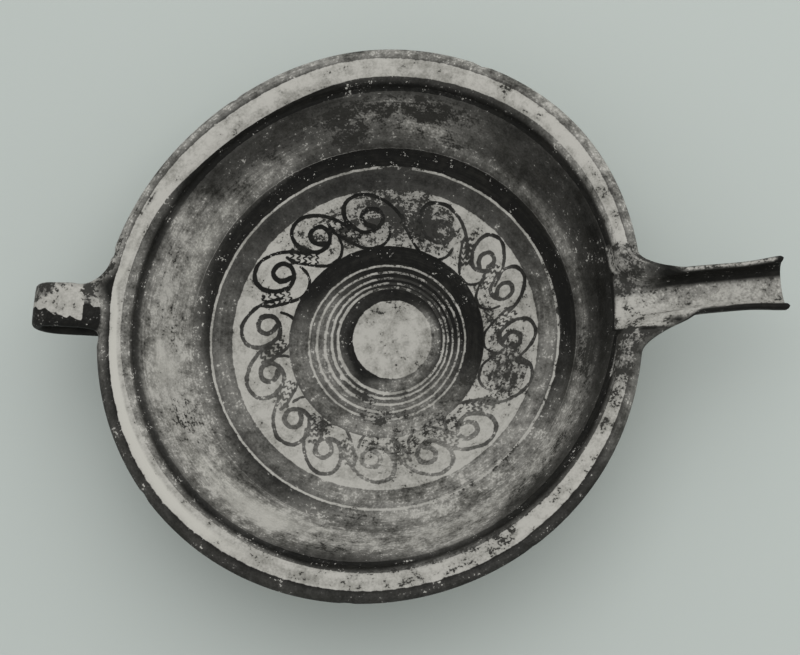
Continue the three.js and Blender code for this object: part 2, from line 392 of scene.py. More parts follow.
for step in range(int(ring_steps[-1])):
    faces.append((bowl_count + 1, point_at(last_ring, step + 1), point_at(last_ring, step)))
print("bowl faces:", len(faces))


# %% Walk round an opening's edge
def opening_edge(first, last, middle, half):
    """The points round an opening: across its first ring, up a side, back and down."""
    across = range(middle - half, middle + half + 1)
    edge = [point_at(first, step) for step in across]
    edge += [point_at(ring, middle + half) for ring in range(first + 1, last)]
    edge += [point_at(last, step) for step in reversed(across)]
    edge += [point_at(ring, middle - half) for ring in range(last - 1, first, -1)]
    return edge


# %% [markdown]
# ## The spout
# The real spout is a strip of clay bent into a gutter and luted to the rim. A section across
# it is a U with rounded lips, and a fixed list of places round that U is moved along the
# length. The first ring is the edge of the opening itself, so the joint has no seam.

# %% Give the spout its measures
SPOUT_TIP = 205.2
SPOUT_LEAN = 1.5
TIP_HOLLOW = 2.6
TIP_SLANT = 0.9
CORNER_SHARE = 0.42
CHANNEL_HALF = 9.0
CHANNEL_DEPTH = 8.0
CHANNEL_DEEPER = 1.8
CHANNEL_DEEPEST_AT = 165
CHANNEL_SHALLOWER = 0.8
TROUGH_HALF = 11.8
TROUGH_DEPTH = 12.3
LIP_FLARE = 1.8
LIP_FLARE_LENGTH = 30
LIP_ROUND_DEPTH = 1.5
ROOT_AT = 117
ROOT_DEEPER = 11.5
ROOT_LENGTH = 17
SWELL_AT = 133
SWELL = 1.2
SWELL_LENGTH = 18
print("the spout stands out", round(SPOUT_TIP - LIP_RADIUS, 1), "mm past the rim's circle")


# %% Describe the gutter's section at any place along the spout
def gutter_half(x):
    """Half of the U at x, from the middle of the channel over the lip to the underside."""
    lip_turn = LIP_FLARE * ease(x, SPOUT_TIP - LIP_FLARE_LENGTH, SPOUT_TIP) ** 2
    inner_half = CHANNEL_HALF + 0.8 * lip_turn
    outer_half = TROUGH_HALF + lip_turn + SWELL * math.exp(-max(x - SWELL_AT, 0) / SWELL_LENGTH)
    inner_deep = CHANNEL_DEPTH + CHANNEL_DEEPER * ease(x, 124, CHANNEL_DEEPEST_AT)
    inner_deep -= CHANNEL_SHALLOWER * ease(x, CHANNEL_DEEPEST_AT, SPOUT_TIP)
    outer_deep = TROUGH_DEPTH + ROOT_DEEPER * math.exp(-max(x - ROOT_AT, 0) / ROOT_LENGTH)
    round_deep = LIP_ROUND_DEPTH
    turn = np.linspace(0, np.pi / 2, 60)
    lip_middle = (inner_half + outer_half) / 2
    sine, cosine = np.sin(turn), np.cos(turn)
    wall_in = np.column_stack([
        inner_half * sine**0.8,
        -round_deep - (inner_deep - round_deep) * cosine**0.8,
    ])
    lip_in = np.column_stack([
        lip_middle - (lip_middle - inner_half) * cosine, -round_deep * (1 - sine),
    ])
    lip_out = np.column_stack([
        lip_middle + (outer_half - lip_middle) * sine, -round_deep * (1 - cosine),
    ])
    wall_out = np.column_stack([
        outer_half * cosine**0.85,
        -round_deep - (outer_deep - round_deep) * sine**0.85,
    ])
    return np.vstack([wall_in, lip_in[1:]]), np.vstack([lip_out, wall_out[1:]])


def spread(line, share, first, second):
    """Places first + second steps evenly on a line, either side of a share of its length."""
    along = np.concatenate([[0], np.cumsum(np.linalg.norm(np.diff(line, axis=0), axis=1))])
    split = share * along[-1]
    wanted = np.concatenate([
        np.linspace(0, split, first, endpoint=False), np.linspace(split, along[-1], second + 1),
    ])
    return np.column_stack([np.interp(wanted, along, line[:, k]) for k in range(2)])


def gutter_section(x):
    """The whole half section at x as a fixed number of places."""
    inner, outer = gutter_half(x)
    inner = spread(inner, CORNER_SHARE, SPOUT_HALF_STEPS, SPOUT_RINGS)
    outer = spread(outer[::-1], CORNER_SHARE, SPOUT_HALF_STEPS, SPOUT_RINGS)[::-1]
    return np.vstack([inner, outer[1:]])


gutter_places = np.linspace(112, SPOUT_TIP + 1, 80)
gutter_table = np.array([gutter_section(x) for x in gutter_places])
half_count = gutter_table.shape[1] - 1
print("places round half the gutter:", half_count)

# %% Match each point of the opening's edge to a place round the gutter
right_side = list(range(0, half_count + 1))
left_side = list(range(half_count - 1, 0, -1))
round_gutter = [(i, 1) for i in right_side] + [(i, -1) for i in left_side]
start_at = len(round_gutter) - SPOUT_HALF_STEPS
round_gutter = round_gutter[start_at:] + round_gutter[:start_at]
spout_edge = opening_edge(*openings[0])
assert len(spout_edge) == len(round_gutter)
print("points round the spout's root:", len(spout_edge))

# %% Draw the spout out from the rim
SPOUT_STATIONS = 46
NOSE_STEPS = 4
NOSE = 1.5
BLEND_LENGTH = 15.0


def gutter_point(place, side, x):
    """The height and width at x of one place round the gutter."""
    y = side * np.interp(x, gutter_places, gutter_table[:, place, 0])
    y = y + SPOUT_LEAN * ease(x, 128, 168)
    z = RIM_HEIGHT + np.interp(x, gutter_places, gutter_table[:, place, 1])
    return np.column_stack([np.atleast_1d(y), np.atleast_1d(z)])


def hand_over(distance):
    """How much of the opening's own shape is left after a distance along the spout."""
    return 1 - ease(distance, 0, BLEND_LENGTH)


spout_lines = []
for number, (place, side) in zip(spout_edge, round_gutter):
    start = points[number]
    tip = gutter_point(place, side, SPOUT_TIP)[0]
    slant = TIP_SLANT * (0.5 + 0.5 * tip[0] / 14)
    end_x = SPOUT_TIP - NOSE - slant - TIP_HOLLOW * (RIM_HEIGHT - tip[1]) / 12
    x = start[0] + (end_x - start[0]) * np.linspace(0, 1, SPOUT_STATIONS + 1)
    across = gutter_point(place, side, x)
    keep = hand_over(x - start[0])[:, None]
    across = across + (start[1:] - across[0]) * keep
    spout_lines.append(np.column_stack([x, across]))
spout_grid = np.array(spout_lines).transpose(1, 0, 2)[1:]
print("rows along the spout:", len(spout_grid))

# %% Round the spout's cut end
opposite = {}
for index, (place, side) in enumerate(round_gutter):
    opposite[index] = round_gutter.index((half_count - place, side)) if 0 < place < half_count \
        else round_gutter.index((half_count - place, 1))
pairs = np.array([opposite[i] for i in range(len(round_gutter))])
last = spout_grid[-1]
middle_of_wall = (last + last[pairs]) / 2
nose_rows = []
for step in range(1, NOSE_STEPS + 1):
    turn = step / NOSE_STEPS * math.radians(75)
    row = middle_of_wall + (last - middle_of_wall) * math.cos(turn)
    row[:, 0] += NOSE * math.sin(turn)
    nose_rows.append(row)
spout_grid = np.concatenate([spout_grid, np.array(nose_rows)])
print("the spout ends", round(float(spout_grid[..., 0].max()), 1), "mm from the middle")


# %% Add a grid of rows to the skin
def add_tube(first_edge, grid, last_edge=None):
    """Joins rows of points into a tube that starts on an edge, and may end on another."""
    global points, point_along, point_angle
    start = len(points)
    width = len(first_edge)
    points = np.vstack([points, grid.reshape(-1, 3)])
    point_along = np.concatenate([point_along, np.tile(point_along[first_edge], len(grid))])
    point_angle = np.concatenate([point_angle, np.tile(point_angle[first_edge], len(grid))])
    rows = [list(first_edge)]
    rows += [list(range(start + r * width, start + (r + 1) * width)) for r in range(len(grid))]
    if last_edge is not None:
        rows.append(list(last_edge))
    for near, far in zip(rows, rows[1:]):
        for i in range(width):
            j = (i + 1) % width
            faces.append((near[j], near[i], far[i], far[j]))
    return rows


spout_rows = add_tube(spout_edge, spout_grid)
tip_row = spout_rows[-1]
for i in range(len(tip_row)):
    j = (i + 1) % len(tip_row)
    place_i, place_j = round_gutter[i][0], round_gutter[j][0]
    if max(place_i, place_j) <= half_count // 2:
        corners = [tip_row[j], tip_row[i], tip_row[pairs[i]], tip_row[pairs[j]]]
        faces.append(tuple(dict.fromkeys(corners)))
print("points with the spout:", len(points))


# %% [markdown]
# ## The strap handle
# A strap is a flat ribbon of clay, bent over and pressed back on the wall. Its middle line is
# drawn in the upright plane through the handle, and one rounded rectangle travels along it.
# Both ends start from the openings' edges and take the strap's shape within a finger's width.

# %% Draw the strap's middle line, as distance from the axis and height
STRAP_HALF_WIDTH = 11.5
STRAP_HALF_THICK = 2.7
STRAP_REACH = 179.4
STRAP_BEND = 9.2
strap_high = RIM_HEIGHT - 0.2 - STRAP_HALF_THICK
strap_low = strap_high - 2 * STRAP_BEND
bend_from = STRAP_REACH - STRAP_HALF_THICK - STRAP_BEND
bend = [
    (bend_from + STRAP_BEND * math.sin(turn), strap_high - STRAP_BEND * (1 - math.cos(turn)))
    for turn in np.linspace(0, math.pi, 9)
]
STRAP_LINE = [
    (128, strap_high), (146, strap_high), (156, strap_high), *bend,
    (152, strap_low - 0.3), (140, strap_low - 1.1), (126, strap_low - 2.6), (112, strap_low - 5),
]
strap_line, strap_along, strap_marks = smooth_line(STRAP_LINE, 0.5)
strap_heading = np.gradient(strap_line, axis=0)
strap_heading /= np.linalg.norm(strap_heading, axis=1)[:, None]
print("the strap's line is", round(strap_along[-1]), "mm long")

# %% Place the points round the strap's section
STRAP_CORNER = 2.3


def strap_section():
    """A rounded rectangle with a slight crown, in the order of the opening's edge."""
    flat = STRAP_HALF_WIDTH - STRAP_CORNER
    upright = STRAP_HALF_THICK - STRAP_CORNER
    turn = np.linspace(0, np.pi / 2, 12)
    quarter = np.column_stack([
        flat + STRAP_CORNER * np.sin(turn), upright + STRAP_CORNER * np.cos(turn),
    ])
    middle = len(turn) // 2
    top = np.vstack([
        (quarter[:middle + 1] * (-1, 1))[::-1], quarter[:middle + 1],
    ])
    side = np.vstack([quarter[middle:], (quarter[middle:] * (1, -1))[::-1]])
    top = spread(top, 0.5, HANDLE_HALF_STEPS, HANDLE_HALF_STEPS)
    side = spread(side, 0.5, HANDLE_RINGS // 2, HANDLE_RINGS // 2)
    return np.vstack([top[:-1], side[:-1], -top[:-1], -side[:-1]])


# %% Match the strap to the edges of its two openings
strap_places = strap_section()
top_edge = opening_edge(*openings[1])
low_first, low_last, low_middle, low_half = openings[2]
low_edge_rings = range(low_last - 1, low_first, -1)
low_across = range(low_middle - low_half, low_middle + low_half + 1)
low_edge = [point_at(low_last, step) for step in low_across]
low_edge += [point_at(ring, low_middle + low_half) for ring in low_edge_rings]
low_edge += [point_at(low_first, step) for step in reversed(low_across)]
low_edge += [point_at(ring, low_middle - low_half) for ring in reversed(low_edge_rings)]
assert len(strap_places) == len(top_edge) == len(low_edge)
print("points round the strap:", len(strap_places))

# %% Bend the strap from the rim round to the wall
STRAP_STATIONS = 66
STRAP_BLEND = 11.0
FILLET_HEIGHT = 9.0
FILLET_FADE = 6.5
STRAP_CROWN = 0.35


def strap_point(place, distance):
    """Where one place of the strap's section is, at distances along its middle line."""
    across, out = place
    out = out + STRAP_CROWN * (1 - (across / STRAP_HALF_WIDTH) ** 2) * np.sign(out)
    centre = np.column_stack([np.interp(distance, strap_along, strap_line[:, k]) for k in (0, 1)])
    heading = np.column_stack([
        np.interp(distance, strap_along, strap_heading[:, k]) for k in (0, 1)
    ])
    from_rim = np.maximum(distance - (LIP_RADIUS - STRAP_LINE[0][0]), 0)
    spread_out = FILLET_HEIGHT * np.exp(-((from_rim / FILLET_FADE) ** 1.3))
    across = across + spread_out * min(across / STRAP_HALF_WIDTH, 0)
    reach = centre[:, 0] - heading[:, 1] * out
    height = centre[:, 1] + heading[:, 0] * out
    return np.outer(reach, outward) + np.outer(height, upward) + np.outer(across, sideways)


strap_grid = []
for place, top, low in zip(strap_places, top_edge, low_edge):
    start, end = points[top], points[low]
    start_at = start @ outward - STRAP_LINE[0][0]
    end_at = strap_along[-1] - (end @ outward - STRAP_LINE[-1][0])
    distance = np.linspace(start_at, end_at, STRAP_STATIONS + 2)
    run = strap_point(place, distance)
    start_share = (1 - ease(distance - start_at, 0, STRAP_BLEND))[:, None]
    end_share = (1 - ease(end_at - distance, 0, STRAP_BLEND))[:, None]
    run = run + (start - run[0]) * start_share + (end - run[-1]) * end_share
    strap_grid.append(run[1:-1])
strap_grid = np.array(strap_grid).transpose(1, 0, 2)
strap_rows = add_tube(top_edge, strap_grid, low_edge)
print("points with the handle:", len(points))

# %% [markdown]
# ## Thumbed joints
# Wet clay joints are smoothed with a thumb, so nothing meets at a hard corner. Averaging each
# point with its neighbours, most at the joints and not at all a thumb's width away, does the
# same to the skin.

# %% Smooth the joints of the spout and the handle
SMOOTH_ROUNDS = 24
JOINT_REACHES = ((spout_edge, 9.0), (top_edge, 9.0), (low_edge, 8.0))
edges = set()
for face in faces:
    for a, b in zip(face, face[1:] + face[:1]):
        edges.add((a, b) if a < b else (b, a))
edges = np.array(sorted(edges))
neighbours = np.bincount(edges.ravel(), minlength=len(points))
joint_weight = np.zeros(len(points))
for edge, reach in JOINT_REACHES:
    ring_points = points[edge]
    low_box, high_box = ring_points.min(0) - reach, ring_points.max(0) + reach
    close = np.flatnonzero(((points > low_box) & (points < high_box)).all(1))
    gap = np.linalg.norm(points[close][:, None] - ring_points[None], axis=2).min(1)
    joint_weight[close] = np.maximum(joint_weight[close], 1 - ease(gap, 1, reach))
for _ in range(SMOOTH_ROUNDS):
    total = np.zeros_like(points)
    np.add.at(total, edges[:, 0], points[edges[:, 1]])
    np.add.at(total, edges[:, 1], points[edges[:, 0]])
    average = total / np.maximum(neighbours, 1)[:, None]
    points += 0.5 * joint_weight[:, None] * (average - points)
print("points smoothed:", int((joint_weight > 0.01).sum()))

# %% [markdown]
# ## The photo's view
# The camera looks down into the bowl from the side that the photo shows. It is described before
# the painting, because the fifteen spirals don't stand evenly. Their eyes were read in the photo,
# as pixels. A line of sight from the camera carries each down to the clay.

# %% Describe the view into the bowl
PHOTO_TURN = 2.7
CAMERA_TILT = 16.0
CAMERA_AZIMUTH = -59.0 - PHOTO_TURN
CAMERA_DISTANCE = 1.0
LENS = 90
SENSOR = 36
SHIFT_ACROSS = 0.0353
SHIFT_UP = -0.0118
PHOTO_WIDTH = 800
PHOTO_HEIGHT = 655
target = Vector((0, 0, RIM_HEIGHT * MM))
tilt, azimuth = math.radians(CAMERA_TILT), math.radians(CAMERA_AZIMUTH)
towards = Vector((
    math.sin(tilt) * math.cos(azimuth), math.sin(tilt) * math.sin(azimuth), math.cos(tilt),
))
image_up = math.radians(90 - PHOTO_TURN)
view_right = Vector((math.cos(image_up), math.sin(image_up), 0)).cross(towards).normalized()
view_up = towards.cross(view_right)
lens_place = target + towards * CAMERA_DISTANCE
pixel_size = CAMERA_DISTANCE * SENSOR / (LENS * PHOTO_WIDTH)
print("one pixel of the photo is", round(pixel_size / MM, 3), "mm at the rim")


# %% Find the spot of the bowl that a place in the photo shows
SIGHT_ROUNDS = 6


def seen_on_bowl(photo_x, photo_y):
    """Follows the line of sight down to the inside. Gives the angle in degrees and the radius."""
    aside = photo_x - PHOTO_WIDTH * (0.5 - SHIFT_ACROSS)
    above = PHOTO_HEIGHT / 2 + PHOTO_WIDTH * SHIFT_UP - photo_y
    aim = target + (view_right * aside + view_up * above) * pixel_size
    height = INSIDE[0][1]
    for _ in range(SIGHT_ROUNDS):
        share = (lens_place.z - height * MM) / (lens_place.z - aim.z)
        spot_seen = lens_place + (aim - lens_place) * share
        radius = math.hypot(spot_seen.x, spot_seen.y) / MM
        height = float(np.interp(radius, *np.array(INSIDE).T))
    return math.degrees(math.atan2(spot_seen.y, spot_seen.x)), radius


middle_angle, middle_radius = seen_on_bowl(PHOTO_WIDTH / 2, PHOTO_HEIGHT / 2)
print("the photo's middle shows a spot", round(middle_radius, 1), "mm from the bowl's middle")

# %% [markdown]
# ## Where the brush went
# The bands were painted with the pot turning, so each is only a start and an end radius, and
# the finish draws them later. The spirals were drawn by hand. Each point near one gets its
# distance to the brush's path, so the finish can draw a clean edge finer than the skin's faces.

# %% Prepare the painted numbers that each point will carry
NO_PAINT = -9.0
bowl_points = slice(0, bowl_count)
brush = np.full(len(points), NO_PAINT)
wheel_radius = np.interp(point_along, outline_along, outline[:, 0])
inside = point_along <= LIP_ALONG
print("points that carry paint inside:", int(inside.sum()))


# %% Lay one stroke of the brush
def lay_stroke(places, across, up, path, widths):
    """Marks the points near one brush stroke. Widths are at its start and its end."""
    line, along, _ = smooth_line(path, 0.5)
    half = np.interp(along, [0, along[-1]], widths) / 2
    first, second = line[:-1], line[1:]
    step = second - first
    length2 = (step**2).sum(1)
    spot = np.column_stack([across, up])
    share = ((spot[:, None] - first) * step).sum(2) / length2
    share = np.clip(share, 0, 1)
    gap = np.linalg.norm(spot[:, None] - first - share[..., None] * step, axis=2)
    depth = (half[:-1] + (half[1:] - half[:-1]) * share - gap).max(1)
    brush[places] = np.maximum(brush[places], depth)


# %% Find the eyes of the fifteen spirals, from their places in the photo
EYES_IN_PHOTO = [
    (319.8, 236.4), (282.9, 273.3), (267.7, 325.3), (269.9, 373.0), (293.7, 418.6),
    (324.0, 449.0), (371.8, 458.7), (427.0, 454.4), (468.0, 429.4), (506.3, 379.5),
    (511.7, 339.4), (504.0, 290.6), (485.7, 261.3), (442.3, 231.0), (371.8, 218.0),
]
eyes = [seen_on_bowl(*place) for place in EYES_IN_PHOTO]
print("eyes, as angle and radius:", [(round(a % 360, 1), round(r, 1)) for a, r in eyes])

# %% Place the brush's path round one eye, in millimetres across and up
COIL = [
    (16.2, -3.1), (9.9, 4.8), (3.7, 9.9), (-3.6, 12.7), (-9.7, 10.2), (-11.7, 3.1),
    (-9.1, -2.8), (-5.1, -6.2), (1.7, -5.7), (5.1, -1.7), (3.1, 3.7), (-2.8, 4.0),
    (-4.5, 0), (-3.1, -2.6), (0.6, -4.6),
]
HOOK = [
    (-19.5, 2.6), (-19.4, 0), (-18.4, -2.6), (-16.8, -4.9), (-11.5, -10.9), (-5.1, -14.8),
    (-1.4, -15.1), (4.8, -13.9), (8.2, -10), (8.6, -5.1),
]
COIL_WIDTHS = (1.7, 2.7)
HOOK_WIDTHS = (1.8, 1.7)
WAVE_WIDTHS = (1.0, 0.9)
USUAL_PITCH = 24.0
LEAST_STRETCH = 0.8
MOST_STRETCH = 1.15
ZONE_FROM = 49
ZONE_TO = 84
WAVE_STROKES = 5
WAVE_FIRST = np.array([(-15, 3.7), (-20.2, -1.9)])
WAVE_LAST = np.array([(-5.4, -6), (-11.4, -10.8)])
WAVE_HEIGHT = 0.9
WAVES = 3
NEAR_AN_EYE = 26
print("brush path:", len(COIL), "points in the coil and", len(HOOK), "in the hook")

# %% Draw the fifteen running spirals
spiral_zone = np.flatnonzero(inside & (wheel_radius > ZONE_FROM) & (wheel_radius < ZONE_TO))
zone_angle = np.degrees(point_angle[spiral_zone])
zone_radius = wheel_radius[spiral_zone]
for index, (eye_angle, eye_radius) in enumerate(eyes):
    before = (eyes[index - 1][0] - eye_angle) % 360
    after = (eye_angle - eyes[(index + 1) % len(eyes)][0]) % 360
    pitch = min(360 - before, before) + min(360 - after, after)
    stretch = float(np.clip(pitch / 2 / USUAL_PITCH, LEAST_STRETCH, MOST_STRETCH))
    turned = (eye_angle - zone_angle + 180) % 360 - 180
    across = np.radians(turned) * eye_radius / stretch
    up = zone_radius - eye_radius
    near = np.abs(across) < NEAR_AN_EYE
    places = spiral_zone[near]
    lay_stroke(places, across[near], up[near], COIL, COIL_WIDTHS)
    lay_stroke(places, across[near], up[near], HOOK, HOOK_WIDTHS)
    for number in range(WAVE_STROKES):
        start, end = WAVE_FIRST + (WAVE_LAST - WAVE_FIRST) * number / (WAVE_STROKES - 1)
        t = np.linspace(0, 1, 6 * WAVES + 1)[:, None]
        side = np.array([start[1] - end[1], end[0] - start[0]])
        side = side / np.linalg.norm(side)
        wave = start + (end - start) * t + np.sin(2 * np.pi * WAVES * t) * WAVE_HEIGHT * side
        lay_stroke(places, across[near], up[near], wave, WAVE_WIDTHS)
print("points under the brush:", int((brush > 0).sum()))

# %% [markdown]
# ## Wear, dirt and painted light
# Paint wears most where hands, food and soil rubbed. Wear and dirt are each a short list of
# soft patches: an angle and radius, a reach round and across, and a strength. A wear strength
# below zero keeps the paint thicker there. A dirt strength below zero is painted light: it makes
# the clay paler on the rim and the inner wall on the side that faces the light.

# %% List the worn patches
WEAR_BASE = -0.02
WORN = [
    (10, 24, 35, 4, 0.46), (300, 24, 50, 4, 0.54), (125, 24, 75, 4, 0.06), (205, 25, 22, 3, 0.2),
    (190, 36, 66, 7, 0.4), (300, 36, 48, 7, 0.4), (190, 47, 30, 5, 0.36), (235, 47, 22, 5, 0.4),
    (292, 47, 40, 5, 0.5), (278, 66, 48, 15, 0.52), (200, 66, 30, 15, 0.26),
    (335, 66, 14, 13, 0.12), (20, 66, 60, 14, 0.14), (100, 85.5, 50, 5, -0.07),
    (195, 85.5, 38, 5, 0.18), (295, 85.5, 62, 6, 0.42), (6, 85.5, 12, 5, 0.3), (205, 96, 28, 4, 0.24),
    (292, 95.5, 44, 5, 0.6), (193, 110.5, 42, 11, 0.95), (287, 111, 16, 11, 0.85),
    (150, 117, 9, 6, 0.4), (236, 116, 12, 6, 0.45), (250, 108, 22, 8, 0.8), (322, 107, 24, 8, 0.55),
    (132, 106, 20, 5.5, 0.5), (76, 109, 8, 2.4, 0.5), (82, 112, 24, 9, 0.24),
    (25, 103.5, 46, 3, 0.34), (8, 117, 22, 6, -0.1), (193, 127, 42, 3, 0.5), (240, 127, 12, 3, 0.3),
    (15, 127, 36, 3.5, 0.58), (290, 127, 42, 2, 0.2), (80, 127, 22, 2, 0.1),
    (95, 139, 80, 4, 0.5), (35, 139, 24, 4, 0.42), (168, 139, 18, 4, 0.35), (250, 139, 90, 4, 0.1),
    (340, 139, 14, 4, 0.25),
]
HELD_IN_CREASE = 0.78
print(len(WORN), "worn patches")

# %% List the dirty patches, and the painted light on the lit side
DIRT_BASE = -0.1
# Entries below zero are painted light: they pale the clay on the lit rim and the lit left wall.
DIRT_AND_LIGHT_PATCHES = [
    (87, 66, 25, 15, 1.0), (61, 62, 14, 13, 0.5), (85, 84, 22, 5, 0.4), (345, 66, 17, 16, 0.72),
    (20, 56, 25, 5, 0.4), (125, 66, 18, 14, 0.28), (50, 34, 58, 9, 0.8), (252, 31, 9, 3, 0.95),
    (260, 40, 16, 5, 0.85), (232, 56, 8, 4, 0.75), (84, 91, 8, 2.5, 1.0), (15, 91, 22, 1.5, 0.6),
    (305, 91, 48, 1.6, 0.5), (335, 47, 9, 5, 0.7), (290, 47, 36, 8, 0.3), (300, 131, 46, 6, 0.3),
    (358.5, 131, 17, 9, 1.0), (150, 134, 3, 1.2, 1.0), (82, 116, 24, 6, 0.85), (80, 106, 20, 3, 0.3),
    (99, 106, 7, 8, 0.8), (68, 105, 8, 3, 0.5), (28, 121, 36, 4, 0.5), (15, 113, 20, 7, 0.55),
    (352, 111, 9, 12, 0.8), (122, 115, 20, 6, 0.6), (165, 114, 12, 5, 0.46), (203, 107, 10, 8, 0.5),
    (178, 108, 8, 4, 0.36), (262, 115, 12, 7, 0.42), (322, 114, 22, 8, 0.42), (262, 58, 14, 7, 0.4),
    (302, 56, 25, 6, 0.36), (193, 128, 40, 2, 0.32), (285, 126, 42, 2.4, 0.36),
    (240, 96, 40, 6, 0.3), (130, 84, 50, 6, 0.22), (205, 131, 48, 5, -0.2), (150, 108, 26, 9, -0.12),
    (225, 108, 50, 9, -0.13), (185, 113, 30, 9, -0.08), (168, 139, 16, 4, 0.5),
]
print(len(DIRT_AND_LIGHT_PATCHES), "dirty patches")


# %% Spread the patches over the points
def patches(base, entries):
    """Adds soft patches to a base level, for every point."""
    level = np.full(len(points), float(base))
    shown = np.degrees(point_angle) + PHOTO_TURN
    for angle, radius, round_reach, across_reach, amount in entries:
        turned = (shown - angle + 180) % 360 - 180
        away = (turned / round_reach) ** 2 + ((wheel_radius - radius) / across_reach) ** 2
        level += amount * np.exp(-(away**1.5)) * inside
    return level


crease = ease(wheel_radius, 119.5, 122) * (1 - ease(wheel_radius, 124, 125.5)) * inside
wear = np.clip(patches(WEAR_BASE, WORN), -0.1, 0.95) * (1 - HELD_IN_CREASE * crease)
# Dirt above zero; below zero, painted light that makes the lit clay paler.
dirt_and_painted_light = np.clip(patches(DIRT_BASE, DIRT_AND_LIGHT_PATCHES), DIRT_BASE * 3, 1)
print("middling wear and dirt inside:", *np.median([wear[inside], dirt_and_painted_light[inside]], 1).round(2))

# %% Let the bands waver as a hand does
WAVERS = [
    (122, 127, 20, 3, -4.2), (172, 127, 28, 3, 1.9), (243, 127, 20, 3, -1.3),
    (30, 127, 30, 3, 0.7), (120, 135.5, 15, 3, -1.2), (183, 135.5, 20, 3, -1.5),
    (245, 135.5, 20, 3, -1.0), (335, 121, 25, 3, -1.5), (80, 121, 25, 3, 1.0),
]
PATTERN_CENTRE = (3.0, 1.6)
painted_along = point_along - patches(0, WAVERS)
painted_along[bowl_points] += drawn_out
painted_along = np.where(inside, np.minimum(painted_along, LIP_ALONG), point_along)
off_centre = 1 - ease(wheel_radius, 20, 42)
shift = PATTERN_CENTRE[0] * np.cos(point_angle) + PATTERN_CENTRE[1] * np.sin(point_angle)
painted_along -= np.where(inside & (wheel_radius < 60), off_centre * shift, 0)
most_moved = float(np.abs(painted_along - point_along).max())
print("the bands follow the drawn-out lip and the hand by up to", round(most_moved, 1), "mm")

# %% [markdown]
# ## Paint on the spout and the handle
# These have a few broad dabs: dark edges along the spout, and a dark edge, a cross band and
# dark corners on the strap. The black inside the spout's far wall, on its near lip's outside and
# under the strap is dark paint and also painted shade, on faces turned from the light. A dab is
# the least of the distances to its sides, so a few sums give it a clean edge. Its wear and dirt
# are plain numbers, one for each part.

# %% Paint the rim on both sides of the spout's root
ROOT_WEAR = 0.34
ROOT_DIRT = 0.62
FAR_FROM = 3
FAR_TO = 27
FAR_RADIUS = 121.5
NEAR_FROM = 19
NEAR_TO = 37
NEAR_RADIUS = 124
NEAR_RADIUS_TO = 136.5
limb = np.zeros(len(points))
arc = np.degrees(turn_from(point_angle, 0)) * np.pi / 180 * wheel_radius
far_patch = np.minimum.reduce([arc - FAR_FROM, FAR_TO - arc, wheel_radius - FAR_RADIUS])
near_patch = np.minimum.reduce([
    -arc - NEAR_FROM, arc + NEAR_TO, wheel_radius - NEAR_RADIUS, NEAR_RADIUS_TO - wheel_radius,
])
root = np.maximum(far_patch, near_patch)[bowl_points]
root = np.where(inside[bowl_points], root, NO_PAINT)
brush[bowl_points] = np.maximum(brush[bowl_points], root * 0.3)
wear[bowl_points] = np.where(root > -1, ROOT_WEAR, wear[bowl_points])
dirt_and_painted_light[bowl_points] = np.where(root > -1, ROOT_DIRT, dirt_and_painted_light[bowl_points])
print("points in the root's paint:", int((root > 0).sum()))

# %% Paint the spout
FLOOR_EDGE = [(118, 2.5), (135, 4.0), (150, 6.0), (206, 6.5)]
SMUDGE = (151, -13)
PLACE_STEP = 0.55
BARE_WEAR = 0.94
FLOOR_WASH = 0.24
FAR_ROOT_WEAR = 0.3
SPOUT_DIRT = 0.06
LIP_DIRT = 0.25
ROOT_FILM = 0.2
FAR_ROOT_DIRT = 0.35
limb[bowl_count:] = 1
side_of = np.array([side for _, side in round_gutter])
past_lip = (np.array([place for place, _ in round_gutter]) - half_count / 2) * PLACE_STEP
for numbers in spout_rows[1:]:
    numbers = np.array(numbers)
    x, y, _ = points[numbers].T
    floor_edge = np.interp(x, *np.array(FLOOR_EDGE).T)
    lip_edge = -past_lip - 1.4 + 9 * (1 - ease(x, 130, 156)) + 5 * ease(x, 199, 204)
    # The far wall's inside and the near lip's outside are painted black: dark paint and also painted
    # shade, as both face away from the light.
    far_wall = np.minimum(y - floor_edge, lip_edge)
    far_outside = past_lip - 1.5
    near_outside = np.minimum(past_lip + 0.8 + 1.6 * ease(x, 160, 200), (x - 150) * 0.2)
    smudge = 1.4 - np.hypot((x - SMUDGE[0]) / 2.2, y - SMUDGE[1])
    near_side = np.maximum(near_outside, smudge)
    sides = np.where(side_of > 0, np.maximum(far_wall, far_outside), near_side)
    brush[numbers] = 2.0
    root_share = 1 - ease(x, 128, 150)
    pale = 1 - ease(sides, -1.6, 0.9)
    floor_wash = FLOOR_WASH * ease(y, -8, 4) * (past_lip < 0)
    far_root = root_share * (side_of > 0)
    wear[numbers] = (BARE_WEAR - floor_wash) * pale + FAR_ROOT_WEAR * far_root * (1 - pale)
    lip_dirt = LIP_DIRT * (side_of > 0) * (np.abs(past_lip) < 2)
    dirt_and_painted_light[numbers] = SPOUT_DIRT + lip_dirt + ROOT_FILM * root_share
    dirt_and_painted_light[numbers] += FAR_ROOT_DIRT * far_root * (1 - pale)
print("points on the spout:", len(spout_rows[1:]) * len(spout_edge))

